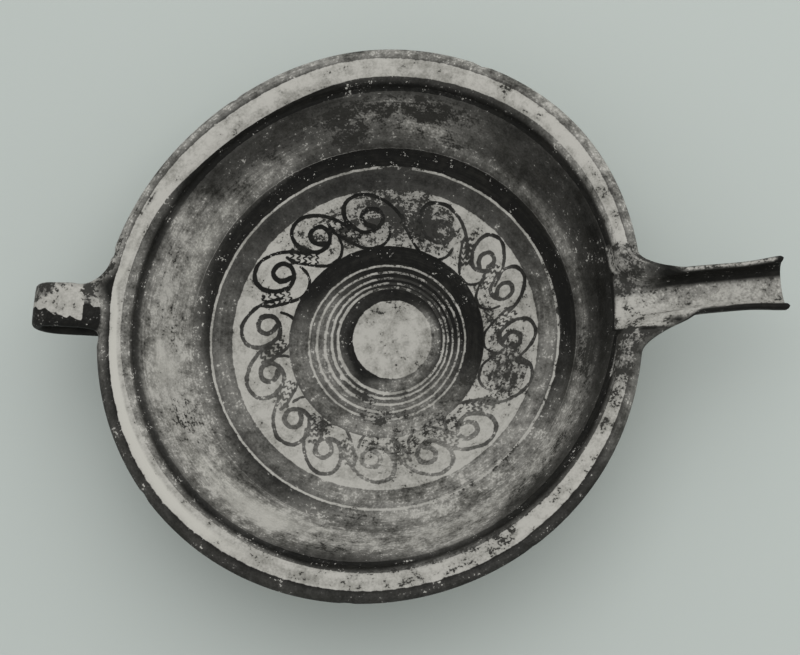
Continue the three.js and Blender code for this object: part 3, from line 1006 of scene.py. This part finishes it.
# %% Paint the strap
CHIPS = [(164, 5.6, 0.9), (160, 5.9, 1.1)]
NEAR_PART_FROM = 6.6
CROSS_BAND_AT = 147.5
CROSS_BAND_HALF = 2.2
FAR_CORNER_FROM = 166
FAR_EDGE_FROM = 10.4
RIM_SIDE_TO = 146
FAR_HALF_WEAR = 0.42
JOINT_DIRT = 0.4
FAR_HALF_DIRT = 0.5
for numbers in strap_rows[1:-1]:
    numbers = np.array(numbers)
    reach = points[numbers] @ outward
    across = points[numbers] @ sideways
    # under paints the strap's lower part black: dark paint and also painted shade beneath the strap.
    under = strap_high - STRAP_BEND * 0.9 - points[numbers, 2]
    waver = 0.6 * np.sin(reach * 0.9) + 0.4 * np.sin(reach * 2.3)
    near_part = across - (NEAR_PART_FROM - 0.23 * (reach - 157)) + waver
    cross_band = CROSS_BAND_HALF - np.abs(reach - CROSS_BAND_AT) + 0.5 * waver
    far_corner = np.minimum(reach - FAR_CORNER_FROM, -across - 4 + 0.5 * (reach - 172)) + waver
    far_edge = -across - FAR_EDGE_FROM + 0.5 * waver
    rim_side = np.minimum(RIM_SIDE_TO - reach, across - 1)
    painted = np.maximum.reduce([near_part, cross_band, far_corner, far_edge, rim_side, under])
    for chip_reach, chip_across, size in CHIPS:
        gap = np.hypot(reach - chip_reach, across - chip_across) - size
        painted = np.minimum(painted, gap)
    brush[numbers] = np.where(across < 0, 0.4, 1.0) * painted
    far_half = ease(-across, 0, 3)
    wear[numbers] = FAR_HALF_WEAR * far_half
    dirt_and_painted_light[numbers] = JOINT_DIRT * (1 - ease(reach, 144, 152))
    dirt_and_painted_light[numbers] += FAR_HALF_DIRT * far_half * (painted > -1.5)
for rows in (spout_rows, strap_rows):
    brush[rows[0]] = np.maximum(brush[rows[0]], brush[rows[1]])
brush[strap_rows[-1]] = 1.0
print("points on the strap:", len(strap_rows[1:-1]) * len(top_edge))

# %% [markdown]
# ## One skin
# The pot is one piece of fired clay, so bowl, spout and handle become one closed mesh. Each
# point carries its paint, wear, dirt and painted light as plain numbers, which the finish reads.
# Painting a picture on the skin would need an unwrapping, and would blur where the camera comes
# close.

# %% Make the mesh
used = np.zeros(len(points), bool)
for face in faces:
    used[list(face)] = True
renumber = np.cumsum(used) - 1
final_faces = [tuple(int(renumber[i]) for i in face) for face in faces]
skin = bpy.data.meshes.new("painted_basin")
skin.from_pydata((points[used] * MM).tolist(), [], final_faces)
skin.validate()
skin.update()
skin.polygons.foreach_set("use_smooth", np.ones(len(skin.polygons), bool))
carried = {"along": painted_along, "brush": brush, "wear": wear, "dirt_and_painted_light": dirt_and_painted_light, "limb": limb}
for name, values in carried.items():
    skin.attributes.new(name, "FLOAT", "POINT").data.foreach_set("value", values[used])
wheel_way = np.column_stack([np.cos(point_angle), np.sin(point_angle), point_along * 0.01])
skin.attributes.new("wheel_way", "FLOAT_VECTOR", "POINT").data.foreach_set(
    "vector", wheel_way[used].ravel()
)
print("numbers carried:", sorted([*carried, "wheel_way"]))

# %% Put the basin in the scene
basin = bpy.data.objects.new("painted_basin", skin)
bpy.context.scene.collection.objects.link(basin)
triangles = sum(len(p.vertices) - 2 for p in skin.polygons)
print("skin:", len(skin.vertices), "points,", triangles, "triangles")

# %% Check that the skin is closed
check = bmesh.new()
check.from_mesh(skin)
open_edges = [e for e in check.edges if not e.is_manifold]
print("open edges:", len(open_edges), "volume cm3:", round(check.calc_volume() * 1e6, 1))
for e in open_edges[:5]:
    print([tuple(round(c * 1000, 1) for c in v.co) for v in e.verts])
check.free()

# %% [markdown]
# ## Clay and slip
# The clay is a pale, fine, slightly mottled grey-buff. The paint is an iron slip, brown-black
# where thick and grey where the brush ran dry. It flakes in specks, so a fine grain decides at
# each spot whether the paint is still there.

# %% Start the finish, with helpers that feed, read and reckon
clay = bpy.data.materials.new("painted_clay")
clay.use_nodes = True
nodes, links = clay.node_tree.nodes, clay.node_tree.links


def feed(socket, value):
    """Links another node's output to a socket, or sets a plain number or colour on it."""
    if isinstance(value, bpy.types.NodeSocket):
        links.new(value, socket)
    else:
        socket.default_value = value


def carried_value(name, output="Fac"):
    """Reads one of the numbers that each point carries."""
    node = nodes.new("ShaderNodeAttribute")
    node.attribute_name = name
    return node.outputs[output]


def calc(operation, first, second=0.0):
    """Works out one sum, difference, product or limit."""
    node = nodes.new("ShaderNodeMath")
    node.operation = operation
    feed(node.inputs[0], first)
    feed(node.inputs[1], second)
    return node.outputs[0]


# %% Add helpers for slopes and grains
def rise(value, start, end, low=0.0, high=1.0):
    """Goes smoothly from low to high as the value goes from start to end."""
    node = nodes.new("ShaderNodeMapRange")
    node.interpolation_type = "SMOOTHSTEP"
    for socket, number in zip(node.inputs, (value, start, end, low, high)):
        feed(socket, number)
    return node.outputs[0]


GRAIN_SPREAD = 3.0


def grain(where, scale, detail=4.0, stretch=(1, 1, 1), roughness=0.6):
    """A soft random pattern with its values spread over about 0 to 1."""
    mapping = nodes.new("ShaderNodeMapping")
    feed(mapping.inputs["Vector"], where)
    mapping.inputs["Scale"].default_value = stretch
    noise_node = nodes.new("ShaderNodeTexNoise")
    links.new(mapping.outputs[0], noise_node.inputs["Vector"])
    noise_node.inputs["Scale"].default_value = scale
    noise_node.inputs["Detail"].default_value = detail
    noise_node.inputs["Roughness"].default_value = roughness
    centred = calc("SUBTRACT", noise_node.outputs["Fac"], 0.5)
    return calc("ADD", calc("MULTIPLY", centred, GRAIN_SPREAD), 0.5)


# %% Add helpers that blend values and colours
def weigh(*pairs):
    """Adds values, each times its share."""
    total = 0.0
    for value, share in pairs:
        total = calc("ADD", calc("MULTIPLY", value, share), total)
    return total


def widen(value, times):
    """Spreads a pattern's values further from one half."""
    return calc("ADD", calc("MULTIPLY", calc("SUBTRACT", value, 0.5), times), 0.5)


def colour_mix(share, first, second):
    """Goes from the first colour to the second."""
    node = nodes.new("ShaderNodeMix")
    node.data_type = "RGBA"
    feed(node.inputs["Factor"], share)
    feed(node.inputs["A"], first)
    feed(node.inputs["B"], second)
    return node.outputs["Result"]


# %% Make the grains
spot = nodes.new("ShaderNodeTexCoord").outputs["Object"]
wheel = carried_value("wheel_way", "Vector")
broad = grain(spot, 45, 3)
medium = grain(spot, 200, 5)
fine = grain(spot, 850, 4)
streaks = grain(wheel, 2.2, 5, (1, 1, 34))
long_streaks = grain(wheel, 1.1, 4, (1, 1, 11))
print("nodes for the grains:", len(nodes))

# %% Draw the painted bands
BANDS = [
    (21, 27.9, 1), (29.2, 30.6, 0.95), (31.7, 33.6, 1), (34.7, 37.2, 1), (38.3, 40.9, 1),
    (41.9, 51.7, 1), (80.3, 90.4, 0.86), (91.5, 100.4, 1), (100.4, 121.2, 0.9), (121.0, 127.3, 1),
]
LIP_BAND = (along_at(135.5), LIP_ALONG + 8)
OUTER_BANDS = [(mark((116, 41)), mark((110, 33)), 1), (mark((62, 10.4)), mark((51.4, 2.6)), 1)]
BAND_SOFT = 0.25
WOBBLE = 0.5
along = carried_value("along")
limb_share = carried_value("limb")
wobbled = calc("ADD", along, calc("MULTIPLY", calc("SUBTRACT", medium, 0.5), WOBBLE))
cover = 0.0
bands = [(along_at(start), along_at(end), amount) for start, end, amount in BANDS]
for start, end, amount in [*bands, (*LIP_BAND, 1), *OUTER_BANDS]:
    soft = min(BAND_SOFT, (end - start) / 3)
    opened = rise(wobbled, start - soft, start + soft)
    closed = rise(wobbled, end - soft, end + soft, 1.0, 0.0)
    cover = calc("MAXIMUM", cover, calc("MULTIPLY", calc("MULTIPLY", opened, closed), amount))
cover = calc("MULTIPLY", cover, rise(limb_share, 0.2, 0.7, 1.0, 0.0))
print("bands:", len(bands), "inside, one on the lip and", len(OUTER_BANDS), "outside")

# %% Draw the brushed strokes over the bands
STROKE_SOFT = 0.2
STROKE_WOBBLE = 0.45
stroke = calc("ADD", carried_value("brush"),
              calc("MULTIPLY", calc("SUBTRACT", medium, 0.5), STROKE_WOBBLE))
cover = calc("MAXIMUM", cover, rise(stroke, -STROKE_SOFT, STROKE_SOFT))
print("nodes with the strokes:", len(nodes))

# %% Wear the paint away and lay the dirt on
CONTRAST = 2.4
WEAR_SOFT = 0.1
DIRT_SOFT = 0.12
FLAKING = 0.55
FLAKES_FROM = 0.17
SOILED_MOST = 0.92
FILM_MOST = 0.7
loss = carried_value("wear")
dirt_and_light_share = carried_value("dirt_and_painted_light")
worn_grain = widen(weigh((broad, 0.16), (medium, 0.3), (fine, 0.38), (streaks, 0.16)), CONTRAST)
dirt_grain = widen(weigh((broad, 0.2), (medium, 0.36), (fine, 0.28), (streaks, 0.16)), CONTRAST)
mottle = widen(weigh((broad, 0.3), (medium, 0.32), (fine, 0.18), (streaks, 0.2)), CONTRAST)
lost_below = calc("SUBTRACT", calc("MULTIPLY", loss, FLAKING), FLAKES_FROM)
kept = rise(worn_grain, calc("SUBTRACT", lost_below, WEAR_SOFT), calc("ADD", lost_below, WEAR_SOFT))
thick = calc("MULTIPLY", cover, calc("SUBTRACT", 1.0, loss))
uneven = calc("MULTIPLY", rise(thick, 0.0, 0.2), rise(thick, 0.3, 1.0, 0.6, 0.05))
laid = calc("ADD", thick, calc("MULTIPLY", calc("SUBTRACT", mottle, 0.5), uneven))
painted = calc("MINIMUM", calc("MAXIMUM", calc("MULTIPLY", laid, kept), 0.0), 1.0)
clean = calc("SUBTRACT", 1.0, dirt_and_light_share)
soiled = rise(dirt_grain, calc("SUBTRACT", clean, DIRT_SOFT), calc("ADD", clean, DIRT_SOFT))
film = rise(dirt_and_light_share, 0.1, 0.8, 0.0, FILM_MOST)
film = calc("MULTIPLY", film, rise(mottle, 0.0, 1.0, 0.5, 1.3))
dark = calc("MAXIMUM", painted, calc("MAXIMUM", calc("MULTIPLY", soiled, SOILED_MOST), film))
print("nodes with wear and dirt:", len(nodes))

# %% Colour the clay and the paint
CLAY_PALE = (0.50, 0.49, 0.45, 1)
CLAY_DULL = (0.24, 0.235, 0.21, 1)
CLAY_PAINTED_LIGHT = (0.56, 0.55, 0.50, 1)
PAINT_BLACK = (0.006, 0.006, 0.005, 1)
PAINT_THIN = (0.019, 0.0185, 0.0155, 1)
clay_mottle = weigh((broad, 0.3), (medium, 0.25), (fine, 0.2), (long_streaks, 0.25))
clay_colour = colour_mix(rise(clay_mottle, 0.3, 0.85), CLAY_PALE, CLAY_DULL)
# Where the dirt level is below zero the clay turns paler: painted light on the lit rim and wall.
clay_colour = colour_mix(rise(dirt_and_light_share, -0.3, -0.12, 1.0, 0.0), clay_colour, CLAY_PAINTED_LIGHT)
thin = weigh((long_streaks, 0.3), (streaks, 0.3), (medium, 0.4))
paint_colour = colour_mix(rise(thin, 0.4, 0.95), PAINT_BLACK, PAINT_THIN)
print("nodes with the colours:", len(nodes))

# %% Give the surface its shine and its fine grain
DULL = 0.8
BURNISHED = 0.62
SHINE = 0.14
GRAIN_STRENGTH = 0.4
GRAIN_HEIGHT = 0.4
finish = nodes["Principled BSDF"]
links.new(colour_mix(dark, clay_colour, paint_colour), finish.inputs["Base Color"])
links.new(rise(dark, 0, 1, DULL, BURNISHED), finish.inputs["Roughness"])
finish.inputs["Specular IOR Level"].default_value = SHINE
bump = nodes.new("ShaderNodeBump")
bump.inputs["Strength"].default_value = GRAIN_STRENGTH
bump.inputs["Distance"].default_value = GRAIN_HEIGHT * MM
surface = weigh((fine, 0.35), (medium, 0.3), (streaks, 0.3), (dark, 0.25))
links.new(surface, bump.inputs["Height"])
links.new(bump.outputs["Normal"], finish.inputs["Normal"])
skin.materials.append(clay)
print("nodes in the finish:", len(nodes), "links:", len(links))

# %% Tell the frame what the skin stands for
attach(basin, "root")
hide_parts("bowl_jar")
print("the basin measures", np.ptp(points[used], axis=0).round(1), "mm")

# %% [markdown]
# ## Floor, light and camera
# A pale floor, one broad soft light from the upper right and an even light from all round show
# the form as in the photo. The camera looks down into the bowl from a metre away, a little from
# the near side, along the view that placed the spirals.

# %% Lay the floor
FLOOR_SIZE = 3.0
FLOOR_COLOUR = (0.55, 0.60, 0.57, 1)
FLOOR_ROUGHNESS = 0.9
bpy.ops.mesh.primitive_plane_add(size=FLOOR_SIZE, location=(0, 0, 0))
floor = bpy.context.object
floor.name = "floor"
paper = bpy.data.materials.new("floor_paper")
paper.use_nodes = True
paper_finish = paper.node_tree.nodes["Principled BSDF"]
paper_finish.inputs["Base Color"].default_value = FLOOR_COLOUR
paper_finish.inputs["Roughness"].default_value = FLOOR_ROUGHNESS
floor.data.materials.append(paper)
floor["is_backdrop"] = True
print("floor:", FLOOR_SIZE, "m wide")

# %% Place the camera
camera_data = bpy.data.cameras.new("camera")
camera_data.lens = LENS
camera_data.sensor_width = SENSOR
camera_data.shift_x = SHIFT_ACROSS
camera_data.shift_y = SHIFT_UP
camera = bpy.data.objects.new("camera", camera_data)
camera.matrix_world = Matrix((
    (view_right.x, view_up.x, towards.x, lens_place.x),
    (view_right.y, view_up.y, towards.y, lens_place.y),
    (view_right.z, view_up.z, towards.z, lens_place.z),
    (0, 0, 0, 1),
))
bpy.context.scene.collection.objects.link(camera)
bpy.context.scene.camera = camera
print("camera at", [round(v, 3) for v in lens_place])


# %% Hang the window light
LIGHT_AZIMUTH = 48
LIGHT_HEIGHT_ANGLE = 66
LIGHT_DISTANCE = 1.6
LIGHT_SIZE = 2.0
LIGHT_POWER = 12.6


def soft_light(name, azimuth, height_angle, distance, size, power):
    """A square soft light that looks at the bowl."""
    data = bpy.data.lights.new(name, "AREA")
    data.size = size
    data.energy = power
    lamp = bpy.data.objects.new(name, data)
    turn, lift = math.radians(azimuth), math.radians(height_angle)
    way = Vector((math.cos(turn) * math.cos(lift), math.sin(turn) * math.cos(lift), math.sin(lift)))
    lamp.location = target + way * distance
    lamp.rotation_euler = way.to_track_quat("Z", "Y").to_euler()
    bpy.context.scene.collection.objects.link(lamp)
    print(name, "at", [round(v, 2) for v in lamp.location])


soft_light(
    "window_light", LIGHT_AZIMUTH, LIGHT_HEIGHT_ANGLE, LIGHT_DISTANCE, LIGHT_SIZE, LIGHT_POWER,
)

# %% Fill the room with an even light
ROOM_LIGHT = 0.6
world = bpy.data.worlds.new("room")
bpy.context.scene.world = world
world.use_nodes = True
world.node_tree.nodes["Background"].inputs["Color"].default_value = (1, 1, 1, 1)
world.node_tree.nodes["Background"].inputs["Strength"].default_value = ROOM_LIGHT
bpy.context.scene.view_settings.view_transform = "Standard"
print("even light:", ROOM_LIGHT)

# %% Write the sizes and finish
low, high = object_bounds()
print("visual box:", [round(v, 4) for v in (*low, *high)])
